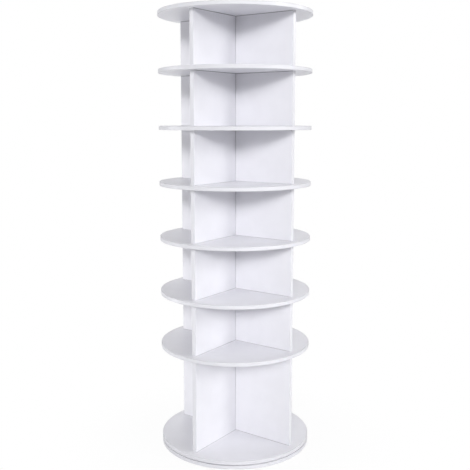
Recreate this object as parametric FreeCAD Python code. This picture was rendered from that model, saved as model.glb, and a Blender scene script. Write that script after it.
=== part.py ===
import FreeCAD, Part
import os

# Rotating shoe tower: seven round tiers of white board that turn together on a ball-bearing turntable.
#
# Millimetres, +Z up. The origin is on the turning axis, at the floor. The dividers of every tier stand
# along X and Y, so that each quarter between them is one compartment.
#
# From the floor up: floor pads, base disc, a narrow gap round the bearing, turntable disc, the tall boot
# tier, then the equal shoe tiers, each on a shelf disc, and the top disc.

Vector = FreeCAD.Vector
ORIGIN = Vector(0, 0, 0)
AXIS_Y = Vector(0, 1, 0)
AXIS_Z = Vector(0, 0, 1)
SAME = 1e-6                  # sizes that differ by less are the same

# ---- Round boards
disc_diameter = 600.0        # over the edging
disc_thickness = 15.0
disc_edging = 2.0            # thickness of the plastic edging
disc_edge_round = 1.8        # rounding of the edging's upper and lower corners

# ---- Tiers, as clear heights between two discs
boot_tier_height = 370.0
shoe_tier_height = 202.0
shoe_tier_count = 6

# ---- Dividers: two boards a tier, which lap at the axis
divider_span = 537.0         # over the edging of both ends
divider_thickness = 18.0
divider_edging = 1.0
divider_edge_round = 0.7
lap_clearance = 0.3          # by which a slot is wider than the board in it
lap_play = 0.5               # between the bottoms of the two slots

# ---- Floor pads
pad_count = 6
pad_circle_diameter = 480.0
pad_diameter = 32.0
pad_thickness = 2.5

# ---- Ball-bearing turntable
turntable_gap = 3.0          # between the base disc and the turntable disc
pitch_diameter = 270.0       # of the bearing, through the centres of the balls
ball_count = 20
ball_diameter = 5.0
ball_clearance = 0.2         # round a ball, in the raceways and in the cage
ring_gap = 2.0               # between the two rings, across the balls
ring_width = 22.0
ring_height = 8.0
ring_lift = 1.0              # by which the upper ring stands above the lower one
ring_bevel = 0.6
recess_clearance = 0.5       # beside the rings, in the groove of the base disc
cage_thickness = 0.8
cage_web = 0.9               # above and below a ball's pocket

# ---- Countersunk screws of the two rings
ring_screw_count = 6
ring_screw_angle = 15.0      # from the +X divider to the first screw of either ring
screw_diameter = 4.0
screw_head_diameter = 8.0
screw_head_height = 2.0
screw_grip = 7.0             # length in the board
access_hole_diameter = 14.0  # in the base disc, for driving the upper ring's screws

# ---- Cam locks in the dividers, and their bolts
cam_diameter = 15.0
cam_clearance = 0.15
cam_skin_thickness = 4.5     # board left behind a cam
cam_sink_depth = 0.5         # from the divider's face to the cam
cam_setback = 24.0           # from the divider's edge to the cam's centre
cam_distance = 200.0         # from the axis
bolt_diameter = 6.0
bolt_clearance = 0.3
bolt_neck_diameter = 4.4
bolt_neck_length = 3.0
bolt_head_length = 4.0
bolt_grip = 10.0             # of a single bolt, in its disc
cap_diameter = 18.0
cap_thickness = 0.9
cap_bevel = 0.4

# ---- Dowels
dowel_diameter = 8.0
dowel_distance = 90.0        # from the axis
dowel_grip = 12.0            # in a divider
dowel_blind_grip = 10.0      # in the turntable disc and the top disc
dowel_end_gap = 1.0
dowel_bevel = 1.0

# ---- What follows from the sizes above
disc_radius = disc_diameter / 2
core_radius = disc_radius - disc_edging
divider_core_span = divider_span - 2 * divider_edging
divider_face = divider_thickness / 2
base_top = pad_thickness + disc_thickness
turntable_bottom = base_top + turntable_gap
recess_depth = ring_height + ring_lift - turntable_gap
recess_floor = base_top - recess_depth
ball_height = recess_floor + (ring_height + ring_lift) / 2
race_radius = ball_diameter / 2 + ball_clearance
lower_ring_inner = (pitch_diameter + ring_gap) / 2
lower_ring_outer = lower_ring_inner + ring_width
upper_ring_outer = (pitch_diameter - ring_gap) / 2
upper_ring_inner = upper_ring_outer - ring_width
tier_heights = [boot_tier_height] + [shoe_tier_height] * shoe_tier_count


# ---- Shapes and where they go

def cylinder(radius, height, z=0.0):
    return Part.makeCylinder(radius, height, Vector(0, 0, z))


def ring(outer_radius, inner_radius, height, z):
    return cylinder(outer_radius, height, z).cut(cylinder(inner_radius, height, z))


def centred_box(length, width, height, z=0.0):
    return Part.makeBox(length, width, height, Vector(-length / 2, -width / 2, z))


def round_edges(shape, radius, z=None):
    """The shape's circular edges of one radius about the axis, at every height or at one."""
    circles = [e for e in shape.Edges if isinstance(e.Curve, Part.Circle)]
    level = [e for e in circles if z is None or abs(e.Curve.Center.z - z) < SAME]
    return [e for e in level if abs(e.Curve.Radius - radius) < SAME]


def moved(shape, x=0.0, z=0.0):
    return shape.translated(Vector(x, 0, z))


def turned(shape, angle):
    return shape.rotated(ORIGIN, AXIS_Z, angle)


def around(shape, count, first_angle=0.0):
    """Evenly spaced copies of a shape about the axis."""
    return [turned(shape, first_angle + 360.0 * i / count) for i in range(count)]


def upended(shape, height):
    """A shape at the lower edge of a board of this height, turned over onto its upper edge."""
    return shape.rotated(Vector(0, 0, height / 2), AXIS_Y, 180)


def on_both_sides(shape, distance):
    """Copies of a shape that is built on the axis, on both halves of the divider along X."""
    return [moved(shape, x=side * distance) for side in (-1, 1)]


def on_arms(shape, distance):
    """Copies of a shape that is built on the axis, on all four arms of a cross of dividers."""
    pair = on_both_sides(shape, distance)
    return pair + [turned(copy, 90) for copy in pair]


def lathe(points):
    """A solid turned about the Z axis from the (radius, height) points of half its section."""
    outline = [Vector(radius, 0, z) for radius, z in points]
    section = Part.Face(Part.makePolygon(outline + outline[:1]))
    return section.revolve(ORIGIN, AXIS_Z, 360)


def stepped_rod(start, steps):
    """A rod along Z that starts at a height and has these (diameter, length) steps."""
    points = [(0, start)]
    z = start
    for diameter, length in steps:
        points += [(diameter / 2, z), (diameter / 2, z + length)]
        z += length
    return lathe(points + [(0, z)])


# ---- Screws, bolts, cams and dowels, each about the place where it holds

def ring_screw():
    """A countersunk screw with the top of its head at height 0, pointing down."""
    shank = screw_diameter / 2
    head = screw_head_diameter / 2
    length = ring_height + screw_grip
    return lathe([(0, -length), (shank, -length), (shank, -screw_head_height), (head, 0), (0, 0)])


def bolt_end():
    """The steps of a bolt's end beyond its shank: the neck and the head."""
    return [(bolt_neck_diameter, bolt_neck_length), (bolt_diameter, bolt_head_length)]


def bolt_shank():
    """Length of a bolt's shank inside one divider. Its head is centred in the cam."""
    return cam_setback - bolt_head_length / 2 - bolt_neck_length


def single_bolt():
    """A bolt with its thread in a disc below height 0 and its head in a cam above."""
    return stepped_rod(-bolt_grip, [(bolt_diameter, bolt_grip + bolt_shank())] + bolt_end())


def double_bolt():
    """A bolt through a disc whose upper face is at height 0, with a head in a cam on either side."""
    start = -disc_thickness - cam_setback - bolt_head_length / 2
    shank = 2 * bolt_shank() + disc_thickness
    return stepped_rod(start, bolt_end()[::-1] + [(bolt_diameter, shank)] + bolt_end())


def bolt_passage(height, z=0.0):
    return cylinder(bolt_diameter / 2 + bolt_clearance, height, z)


def cam_hole():
    """The hole for a cam, bored into a divider from its +Y face near the lower edge."""
    depth = divider_thickness - cam_skin_thickness
    start = Vector(0, divider_face - depth, cam_setback)
    return Part.makeCylinder(cam_diameter / 2, depth, start, AXIS_Y)


def cam_lock():
    """A cam, open on its lower side for the bolt's head."""
    depth = divider_thickness - cam_skin_thickness
    start = Vector(0, divider_face - depth, cam_setback)
    radius = cam_diameter / 2 - cam_clearance
    body = Part.makeCylinder(radius, depth - cam_sink_depth, start, AXIS_Y)
    return body.cut(bolt_passage(cam_setback + bolt_head_length / 2 + bolt_clearance))


def cam_cap():
    """The thin cover stuck over a cam's hole."""
    start = Vector(0, divider_face, cam_setback)
    cap = Part.makeCylinder(cap_diameter / 2, cap_thickness, start, AXIS_Y)
    rim = [e for e in cap.Edges if abs(e.CenterOfMass.y - divider_face - cap_thickness) < SAME]
    return cap.makeChamfer(cap_bevel, rim)


def dowel(below):
    """A dowel that stands in a divider above height 0 and reaches this far below it."""
    body = cylinder(dowel_diameter / 2, below + dowel_grip, -below)
    return body.makeChamfer(dowel_bevel, round_edges(body, dowel_diameter / 2))


def dowel_hole(below, above):
    return cylinder(dowel_diameter / 2, below + above, -below)


# ---- Boards and their edging

def disc_core(z):
    return cylinder(core_radius, disc_thickness, z)


def disc_edge_band(z):
    band = ring(disc_radius, core_radius, disc_thickness, z)
    radius = min(disc_edge_round, 0.95 * disc_edging)
    return band.makeFillet(radius, round_edges(band, disc_radius))


def base_disc():
    """The board on the floor, with a groove for the bearing and a hole to reach its upper screws."""
    groove_outer = lower_ring_outer + recess_clearance
    groove_inner = upper_ring_inner - recess_clearance
    groove = ring(groove_outer, groove_inner, recess_depth, recess_floor)
    access = cylinder(access_hole_diameter / 2, disc_thickness, pad_thickness)
    access = turned(moved(access, x=upper_screw_place()), ring_screw_angle)
    cutters = [groove, access] + lower_screws()
    return disc_core(pad_thickness).cut(cutters)


def turntable_disc():
    """The lowest board that turns, with the bearing below it and the boot tier above."""
    pin_holes = disc_pin_holes(upper_face=turntable_bottom + disc_thickness)
    return disc_core(turntable_bottom).cut(pin_holes + upper_screws())


def disc_pin_holes(upper_face):
    """The blind holes for single bolts and short dowels in the upper face of a disc."""
    bolt_hole = cylinder(bolt_diameter / 2, bolt_grip, -bolt_grip)
    pin_hole = dowel_hole(dowel_blind_grip + dowel_end_gap, 0)
    holes = on_arms(bolt_hole, cam_distance) + on_arms(pin_hole, dowel_distance)
    return [moved(hole, z=upper_face) for hole in holes]


def shelf_disc(upper_face):
    """A board between two tiers, which the bolts and dowels of both pass through."""
    bolt_hole = bolt_passage(disc_thickness, -disc_thickness)
    holes = on_arms(bolt_hole, cam_distance) + on_arms(dowel_hole(disc_thickness, 0), dowel_distance)
    return disc_core(upper_face - disc_thickness).cut([moved(hole, z=upper_face) for hole in holes])


def top_disc(lower_face):
    """The uppermost board, the turntable disc's pin holes upside down in its lower face."""
    holes = [upended(hole, 2 * lower_face) for hole in disc_pin_holes(upper_face=lower_face)]
    return disc_core(lower_face).cut(holes)


def edge_fitting_holes():
    """What one arm of a divider is bored with at its lower edge: cam, bolt and dowel holes."""
    cam_holes = on_both_sides(cam_hole(), cam_distance)
    bolt_holes = on_both_sides(bolt_passage(cam_setback), cam_distance)
    dowel_holes = on_both_sides(dowel_hole(0, dowel_grip + dowel_end_gap), dowel_distance)
    return cam_holes + bolt_holes + dowel_holes


def divider(height, slot_from_top):
    """A divider along X that stands at height 0, slotted at the middle for the one that crosses it."""
    depth = (height + lap_play) / 2
    slot_floor = height - depth if slot_from_top else 0.0
    slot = centred_box(divider_thickness + lap_clearance, divider_thickness, depth, slot_floor)
    lower_holes = edge_fitting_holes()
    upper_holes = [upended(hole, height) for hole in lower_holes]
    board = centred_box(divider_core_span, divider_thickness, height)
    return board.cut([slot] + lower_holes + upper_holes)


def divider_edge_strip(height):
    """The edging on the +X end of a divider, rounded at its two outer corners."""
    strip = centred_box(divider_edging, divider_thickness, height)
    strip = moved(strip, x=(divider_span - divider_edging) / 2)
    radius = min(divider_edge_round, 0.95 * divider_edging)
    upright = [e for e in strip.Edges if e.BoundBox.ZLength > height / 2]
    corners = [e for e in upright if e.BoundBox.XMin > divider_span / 2 - radius / 2]
    return strip.makeFillet(radius, corners)


# ---- Bearing

def lower_screw_place():
    return lower_ring_inner + ring_width / 2


def upper_screw_place():
    return upper_ring_outer - ring_width / 2


def lower_screws():
    screw = moved(ring_screw(), x=lower_screw_place(), z=recess_floor + ring_height)
    return around(screw, ring_screw_count, ring_screw_angle)


def upper_screws():
    screw = upended(ring_screw(), 0.0)
    screw = moved(screw, x=upper_screw_place(), z=turntable_bottom - ring_height)
    return around(screw, ring_screw_count, ring_screw_angle)


def bearing_ring(outer_radius, inner_radius, z, free_radius, screws):
    """A ring with the raceway for the balls, bevelled on the side away from them, and its screw holes."""
    body = ring(outer_radius, inner_radius, ring_height, z)
    body = body.makeChamfer(ring_bevel, round_edges(body, free_radius))
    raceway = Part.makeTorus(pitch_diameter / 2, race_radius, Vector(0, 0, ball_height))
    return body.cut([raceway] + screws)


def bearing_lower_ring():
    return bearing_ring(
        lower_ring_outer, lower_ring_inner, recess_floor,
        free_radius=lower_ring_outer, screws=lower_screws(),
    )


def bearing_upper_ring():
    return bearing_ring(
        upper_ring_outer, upper_ring_inner, turntable_bottom - ring_height,
        free_radius=upper_ring_inner, screws=upper_screws(),
    )


def bearing_cage():
    """A thin band between the rings, with a pocket for each ball."""
    height = 2 * (race_radius + cage_web)
    middle = pitch_diameter / 2
    band = ring(middle + cage_thickness / 2, middle - cage_thickness / 2, height, ball_height - height / 2)
    start = Vector(middle - cage_thickness, 0, ball_height)
    pocket = Part.makeCylinder(race_radius, 2 * cage_thickness, start, Vector(1, 0, 0))
    return band.cut(around(pocket, ball_count))


def bearing_balls():
    ball = Part.makeSphere(ball_diameter / 2, Vector(pitch_diameter / 2, 0, ball_height))
    return around(ball, ball_count)


# ---- The tower, piece by piece

def write(name, solids):
    """Writes one node: a single solid, or a group of like ones."""
    shape = solids[0] if len(solids) == 1 else Part.makeCompound(solids)
    shape.exportStep(f"parts/{name}.step")
    print(f"{name}: {len(solids)} solid(s), {shape.Volume / 1000:.2f} cm3, valid {shape.isValid()}")


def disc_tops():
    """The heights of the upper faces of the turning discs: turntable disc, shelf discs, top disc."""
    tops = [turntable_bottom + disc_thickness]
    for height in tier_heights:
        tops.append(tops[-1] + height + disc_thickness)
    return tops


def write_base():
    pad = moved(cylinder(pad_diameter / 2, pad_thickness), x=pad_circle_diameter / 2)
    write("floor_pads", around(pad, pad_count))
    write("base_disc", [base_disc()])
    write("base_edge_band", [disc_edge_band(pad_thickness)])


def write_bearing():
    write("bearing_lower_ring", [bearing_lower_ring()])
    write("bearing_upper_ring", [bearing_upper_ring()])
    write("bearing_lower_screws", lower_screws())
    write("bearing_upper_screws", upper_screws())
    write("bearing_cage", [bearing_cage()])
    write("bearing_balls", bearing_balls())


def write_discs(tops):
    write("turntable_disc", [turntable_disc()])
    write("turntable_edge_band", [disc_edge_band(turntable_bottom)])
    for number, top in enumerate(tops[1:-1], start=1):
        write(f"shelf_disc_{number}", [shelf_disc(top)])
        write(f"shelf_edge_band_{number}", [disc_edge_band(top - disc_thickness)])
    write("top_disc", [top_disc(tops[-1] - disc_thickness)])
    write("top_edge_band", [disc_edge_band(tops[-1] - disc_thickness)])


def write_dividers(tops):
    for number, (floor, height) in enumerate(zip(tops, tier_heights), start=1):
        under = divider(height, slot_from_top=True)
        over = turned(divider(height, slot_from_top=False), 90)
        strips = around(divider_edge_strip(height), 4)
        write(f"tier_{number}_under_divider", [moved(under, z=floor)])
        write(f"tier_{number}_over_divider", [moved(over, z=floor)])
        write(f"tier_{number}_edge_strips", [moved(strip, z=floor) for strip in strips])


def edge_pieces(piece, tops):
    """Copies of a cam or its cap at the lower and upper edges of every divider."""
    copies = []
    for floor, height in zip(tops, tier_heights):
        lower = on_arms(piece, cam_distance)
        upper = on_arms(upended(piece, height), cam_distance)
        copies += [moved(copy, z=floor) for copy in lower + upper]
    return copies


def end_pieces(piece, distance, tops):
    """Copies of a single bolt or a short dowel in the turntable disc and, upside down, in the top disc."""
    lower = on_arms(piece, distance)
    upper = on_arms(upended(piece, 0.0), distance)
    ceiling = tops[-1] - disc_thickness
    return [moved(pin, z=tops[0]) for pin in lower] + [moved(pin, z=ceiling) for pin in upper]


def through_pieces(piece, distance, tops):
    """Copies of a double bolt or a long dowel in every shelf disc."""
    return [moved(pin, z=top) for top in tops[1:-1] for pin in on_arms(piece, distance)]


def write_fittings(tops):
    write("cam_locks", edge_pieces(cam_lock(), tops))
    write("cam_cover_caps", edge_pieces(cam_cap(), tops))
    write("single_cam_bolts", end_pieces(single_bolt(), cam_distance, tops))
    write("double_cam_bolts", through_pieces(double_bolt(), cam_distance, tops))
    write("short_dowels", end_pieces(dowel(dowel_blind_grip), dowel_distance, tops))
    write("long_dowels", through_pieces(dowel(disc_thickness + dowel_grip), dowel_distance, tops))


def main():
    os.makedirs("parts", exist_ok=True)
    tops = disc_tops()
    write_base()
    write_bearing()
    write_discs(tops)
    write_dividers(tops)
    write_fittings(tops)
    print(f"height {tops[-1]:.1f} mm")


main()
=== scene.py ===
"""The looks of the rotating shoe tower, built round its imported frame.

The boards, their edging and the bearing keep the shapes that the frame gives them and get their finishes
here. The small fittings, plain turned bodies in the frame, are modelled again with recesses, threads and
flutes. Everything is in metres on the frame's own axes: the tower turns about Z, and its dividers stand along
X and Y.
"""

import logging
import math
from collections.abc import Callable, Iterable, Mapping, Sequence
from dataclasses import dataclass, field
from enum import Enum
from typing import Any

import bmesh
import bpy
from mathutils import Matrix, Vector


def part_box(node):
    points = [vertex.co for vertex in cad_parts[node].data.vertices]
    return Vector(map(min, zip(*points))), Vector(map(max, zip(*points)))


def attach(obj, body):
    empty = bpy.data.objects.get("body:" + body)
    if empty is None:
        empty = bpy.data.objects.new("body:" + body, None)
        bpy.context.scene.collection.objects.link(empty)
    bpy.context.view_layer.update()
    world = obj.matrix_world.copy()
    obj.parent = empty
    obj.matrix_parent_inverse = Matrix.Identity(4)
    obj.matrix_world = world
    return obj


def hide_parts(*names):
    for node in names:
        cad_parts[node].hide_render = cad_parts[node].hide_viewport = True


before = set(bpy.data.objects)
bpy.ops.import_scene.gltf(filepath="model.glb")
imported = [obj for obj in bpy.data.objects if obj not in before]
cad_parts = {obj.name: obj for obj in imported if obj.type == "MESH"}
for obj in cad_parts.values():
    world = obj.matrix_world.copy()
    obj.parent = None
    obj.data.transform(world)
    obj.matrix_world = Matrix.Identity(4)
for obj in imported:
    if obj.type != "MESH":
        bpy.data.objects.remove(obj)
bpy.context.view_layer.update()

log = logging.getLogger("shoe_tower")

MM = 0.001
FULL_TURN = 2 * math.pi
ON_AXIS = 1e-7  # a radius under this is a point on the axis
SHARP_FROM = math.radians(32)  # faces that meet at a larger angle keep an edge between them
JOINT_CORE = 0.4  # how far across a joint's width it is at its darkest

BOARD_IOR = 1.5  # the facing of the boards, and their edging
PLASTIC_IOR = 1.49
WOOD_IOR = 1.45

Colour = tuple[float, float, float]
Limits = tuple[float, float]
Outline = Sequence[tuple[float, float]]

WHITE: Colour = (1.0, 1.0, 1.0)


class Body(Enum):
    """The bodies of the frame that pieces ride on."""

    BASE = "base"
    TOWER = "tower"
    BALL_CAGE = "ball_cage"


class Across(Enum):
    """The axis that a board's two faces lie across, as the number of its coordinate."""

    X = 0
    Y = 1
    Z = 2


# ---- Shader maths


class Wire:
    """A node's output.

    Operators on it add Math nodes, or Vector Math nodes where a side is a vector or colour.
    """

    def __init__(self, paint: "Paint", socket: bpy.types.NodeSocket) -> None:
        """Wraps a socket of a paint's node tree."""
        self.paint = paint
        self.socket = socket

    @property
    def is_vector(self) -> bool:
        """Whether the socket carries three numbers."""
        return self.socket.type in {"VECTOR", "RGBA"}

    def _maths(self, operation: str, *sides: Any) -> "Wire":
        """Adds the node of one operation.

        Args:
            operation: The name that Math and Vector Math nodes give it.
            sides: Its operands, in order: wires or plain numbers.

        Returns:
            The node's result.
        """
        vectors = any(isinstance(side, Wire) and side.is_vector for side in sides)
        kind = "ShaderNodeVectorMath" if vectors else "ShaderNodeMath"
        if vectors:
            sides = tuple((side,) * 3 if isinstance(side, (int, float)) else side for side in sides)
        return self.paint.node(kind, {"operation": operation}, dict(enumerate(sides)))

    def __add__(self, other: Any) -> "Wire":
        """The sum."""
        return self._maths("ADD", self, other)

    def __radd__(self, other: Any) -> "Wire":
        """The sum, with the wire on the right."""
        return self._maths("ADD", other, self)

    def __sub__(self, other: Any) -> "Wire":
        """The difference."""
        return self._maths("SUBTRACT", self, other)

    def __rsub__(self, other: Any) -> "Wire":
        """The difference, with the wire on the right."""
        return self._maths("SUBTRACT", other, self)

    def __mul__(self, other: Any) -> "Wire":
        """The product."""
        return self._maths("MULTIPLY", self, other)

    def __rmul__(self, other: Any) -> "Wire":
        """The product, with the wire on the right."""
        return self._maths("MULTIPLY", other, self)

    def __abs__(self) -> "Wire":
        """The size without its sign."""
        return self._maths("ABSOLUTE", self)

    def larger(self, other: Any) -> "Wire":
        """The larger of the two."""
        return self._maths("MAXIMUM", self, other)

    def part(self, axis: Across) -> "Wire":
        """One coordinate of a vector."""
        return self.paint.node("ShaderNodeSeparateXYZ", {}, {0: self}, output=axis.value)

    def along(self, way: Vector) -> "Wire":
        """How far a place lies along a direction of length 1."""
        dot = {"operation": "DOT_PRODUCT"}
        return self.paint.node("ShaderNodeVectorMath", dot, {0: self, 1: way}, "Value")

    def eased(self, low: float, high: float) -> "Wire":
        """A smooth mask, 0 where the value is at low and 1 where it is at high, which may be the smaller."""
        settings = {"interpolation_type": "SMOOTHSTEP"}
        return self.paint.node("ShaderNodeMapRange", settings, {0: self, 1: low, 2: high, 3: 0.0, 4: 1.0})

    def within(self, limit: float, width: float) -> "Wire":
        """A joint's mask, by a distance: 1 up to the limit and its core beyond, and 0 past its width."""
        return self.eased(limit + width, limit + JOINT_CORE * width)

    def blend(self, low: Any, high: Any) -> "Wire":
        """The colour from low, at a value of 0, to high, at a value of 1, each a wire or three numbers."""
        inputs = {"Factor": self, "A": low, "B": high}
        return self.paint.node("ShaderNodeMix", {"data_type": "RGBA"}, inputs, "Result")


class Paint:
    """The node tree of a material, or of the world."""

    def __init__(self, owner: "bpy.types.Material | bpy.types.World") -> None:
        """Empties a node tree, down to its output.

        Args:
            owner: What the tree belongs to.
        """
        self.owner = owner
        owner.use_nodes = True
        self.tree = owner.node_tree
        self.end = next(node for node in self.tree.nodes if not node.outputs)
        for node in list(self.tree.nodes):
            if node != self.end:
                self.tree.nodes.remove(node)

    @classmethod
    def named(cls, name: str) -> "Paint":
        """Starts a new material."""
        return cls(bpy.data.materials.new(name))

    @staticmethod
    def _socket(sockets: Any, key: str | int) -> bpy.types.NodeSocket:
        """Finds a socket.

        Args:
            sockets: A node's inputs or outputs.
            key: The socket's number, or its name among those in use.

        Returns:
            The socket.
        """
        if isinstance(key, int):
            return sockets[key]
        return next(socket for socket in sockets if socket.name == key and socket.enabled)

    def _fill(self, socket: bpy.types.NodeSocket, value: Any) -> None:
        """Puts a link or a plain value into a socket.

        Args:
            socket: The input.
            value: A wire, or what the socket holds by itself. A colour may leave out its alpha.
        """
        if isinstance(value, Wire):
            self.tree.links.new(value.socket, socket)
        elif socket.type == "RGBA" and len(value) == 3:
            socket.default_value = (*value, 1.0)
        else:
            socket.default_value = value

    def node(
        self,
        kind: str,
        settings: Mapping[str, Any],
        inputs: Mapping[str | int, Any],
        output: str | int = 0,
    ) -> Wire:
        """Adds a node.

        Args:
            kind: Its type, such as ShaderNodeTexNoise.
            settings: What the node itself holds, such as its operation, set first.
            inputs: The links and values of its sockets, by name or number.
            output: The name or number of the socket to go on from.

        Returns:
            That output.
        """
        made = self.tree.nodes.new(kind)
        for name, value in settings.items():
            setattr(made, name, value)
        for key, value in inputs.items():
            self._fill(self._socket(made.inputs, key), value)
        return Wire(self, self._socket(made.outputs, output))

    def place(self) -> Wire:
        """Where a point lies on its piece, in metres on the frame's axes at rest."""
        return self.node("ShaderNodeTexCoord", {}, {}, "Object")

    def from_axis(self) -> Wire:
        """How far a point lies from the axis that the tower turns about."""
        level = self.place() * (1.0, 1.0, 0.0)
        return self.node("ShaderNodeVectorMath", {"operation": "LENGTH"}, {0: level}, "Value")

    def share_of_box(self) -> Wire:
        """Where a point lies in its piece's box, from 0 to 1 along each axis."""
        return self.node("ShaderNodeTexCoord", {}, {}, "Generated")

    def noise(
        self,
        grain: float,
        detail: float = 2.0,
        at: Wire | None = None,
        roughness: float = 0.5,
    ) -> Wire:
        """Cloudy noise.

        Args:
            grain: The size of its lumps, in metres, or in the units of the place it is read at.
            detail: How many finer layers it has.
            at: The place to read it at, or None for the point itself.
            roughness: How strong the finer layers are.

        Returns:
            A value about 0.5.
        """
        inputs = {
            "Vector": at or self.place(),
            "Scale": 1 / grain,
            "Detail": detail,
            "Roughness": roughness,
        }
        return self.node("ShaderNodeTexNoise", {"noise_dimensions": "3D"}, inputs)

    def bump(self, height: Wire, depth: float, after: Wire | None = None) -> Wire:
        """A bumped normal.

        Args:
            height: The relief, from 0 to 1.
            depth: How deep the relief is, in metres.
            after: A normal that is bumped already, to add to.

        Returns:
            The normal.
        """
        inputs = {"Strength": 1.0, "Distance": depth, "Height": height}
        if after is not None:
            inputs["Normal"] = after
        return self.node("ShaderNodeBump", {}, inputs)

    def surface(self, **inputs: Any) -> bpy.types.Material:
        """Ends the tree with a Principled surface, its sockets named with _ for the spaces."""
        named = {key.replace("_", " "): value for key, value in inputs.items()}
        return self.finish(self.node("ShaderNodeBsdfPrincipled", {}, named))

    def finish(self, shader: Wire) -> "bpy.types.Material | bpy.types.World":
        """Leads a shader to the output and returns the tree's owner."""
        self.tree.links.new(shader.socket, self.end.inputs["Surface"])
        return self.owner


# ---- Where things are


def level_direction(turn: float) -> Vector:
    """The level vector of length 1 that is turned from -Y towards +X by an angle."""
    return Vector((math.sin(turn), -math.cos(turn), 0.0))


def turned_over(upended: bool) -> Matrix:
    """The turn that a hanging fitting has, or none for a standing one."""
    return Matrix.Rotation(math.pi, 4, "Y") if upended else Matrix.Identity(4)


def seats_in_ring(
    count: int,
    radius: float,
    height: float = 0.0,
    first: float = 0.0,
    upended: bool = False,
) -> list[Matrix]:
    """Seats spread evenly round the axis.

    Args:
        count: How many there are.
        radius: How far each is from the axis.
        height: How high they are.
        first: The angle of the first one, from +X towards +Y.
        upended: Whether the fittings hang.

    Returns:
        The seats.
    """
    out = Matrix.Translation((radius, 0.0, height)) @ turned_over(upended)
    turns = [first + FULL_TURN * i / count for i in range(count)]
    return [Matrix.Rotation(turn, 4, "Z") @ out for turn in turns]


@dataclass(frozen=True)
class Tier:
    """The height between two discs."""

    floor: float
    ceiling: float

    @property
    def height(self) -> float:
        """How high it is, to a tenth of a millimetre."""
        return round(self.ceiling - self.floor, 4)


@dataclass(frozen=True)
class Layout:
    """The places and sizes of the tower's boards.

    Attributes:
        tiers: The tiers, from the floor up.
        disc_radius: The radius of a disc, over its edging.
        core_radius: The radius of its board alone.
        disc_thickness: The thickness of a disc.
        divider_face: Half the thickness of a divider.
        divider_end: How far a divider's board reaches from the axis, without its edging.
    """

    tiers: tuple[Tier, ...]
    disc_radius: float
    core_radius: float
    disc_thickness: float
    divider_face: float
    divider_end: float

    @classmethod
    def from_frame(cls) -> "Layout":
        """Measures the frame's boards.

        Returns:
            The layout.
        """
        names = sorted(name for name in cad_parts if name.endswith("_under_divider"))
        boxes = [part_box(name) for name in names]
        disc_low, disc_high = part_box("base_disc")
        return cls(
            tiers=tuple(Tier(low.z, high.z) for low, high in boxes),
            disc_radius=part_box("base_edge_band")[1].x,
            core_radius=disc_high.x,
            disc_thickness=disc_high.z - disc_low.z,
            divider_face=boxes[0][1].y,
            divider_end=boxes[0][1].x,
        )

    def on_arms(self, distance: float, height: float, upended: bool = False) -> list[Matrix]:
        """Seats on the four arms of a cross of dividers.

        Args:
            distance: How far each is from the axis.
            height: The height of the disc's face that the seats are on.
            upended: Whether they hang from it.

        Returns:
            The seats, the fitting's own +Y face turned away from the front quarter.
        """
        quarters = [Matrix.Rotation(math.radians(angle), 4, "Z") for angle in (0, 90)]
        sides = [Matrix.Translation((side * distance, 0.0, height)) for side in (-1, 1)]
        return [quarter @ side @ turned_over(upended) for quarter in quarters for side in sides]

    def divider_edges(self, distance: float) -> list[Matrix]:
        """Seats at the lower and upper edges of every divider.

        Args:
            distance: How far each is from the axis.

        Returns:
            The seats, those at upper edges upside down.
        """
        seats = []
        for tier in self.tiers:
            seats += self.on_arms(distance, tier.floor)
            seats += self.on_arms(distance, tier.ceiling, upended=True)
        return seats

    def end_discs(self, distance: float) -> list[Matrix]:
        """Seats on the turntable disc and, upside down, on the top disc."""
        lowest, highest = self.tiers[0], self.tiers[-1]
        return self.on_arms(distance, lowest.floor) + self.on_arms(distance, highest.ceiling, upended=True)

    def shelf_discs(self, distance: float) -> list[Matrix]:
        """Seats on the upper faces of the shelf discs."""
        return [seat for tier in self.tiers[1:] for seat in self.on_arms(distance, tier.floor)]


# ---- Finishes


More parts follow.
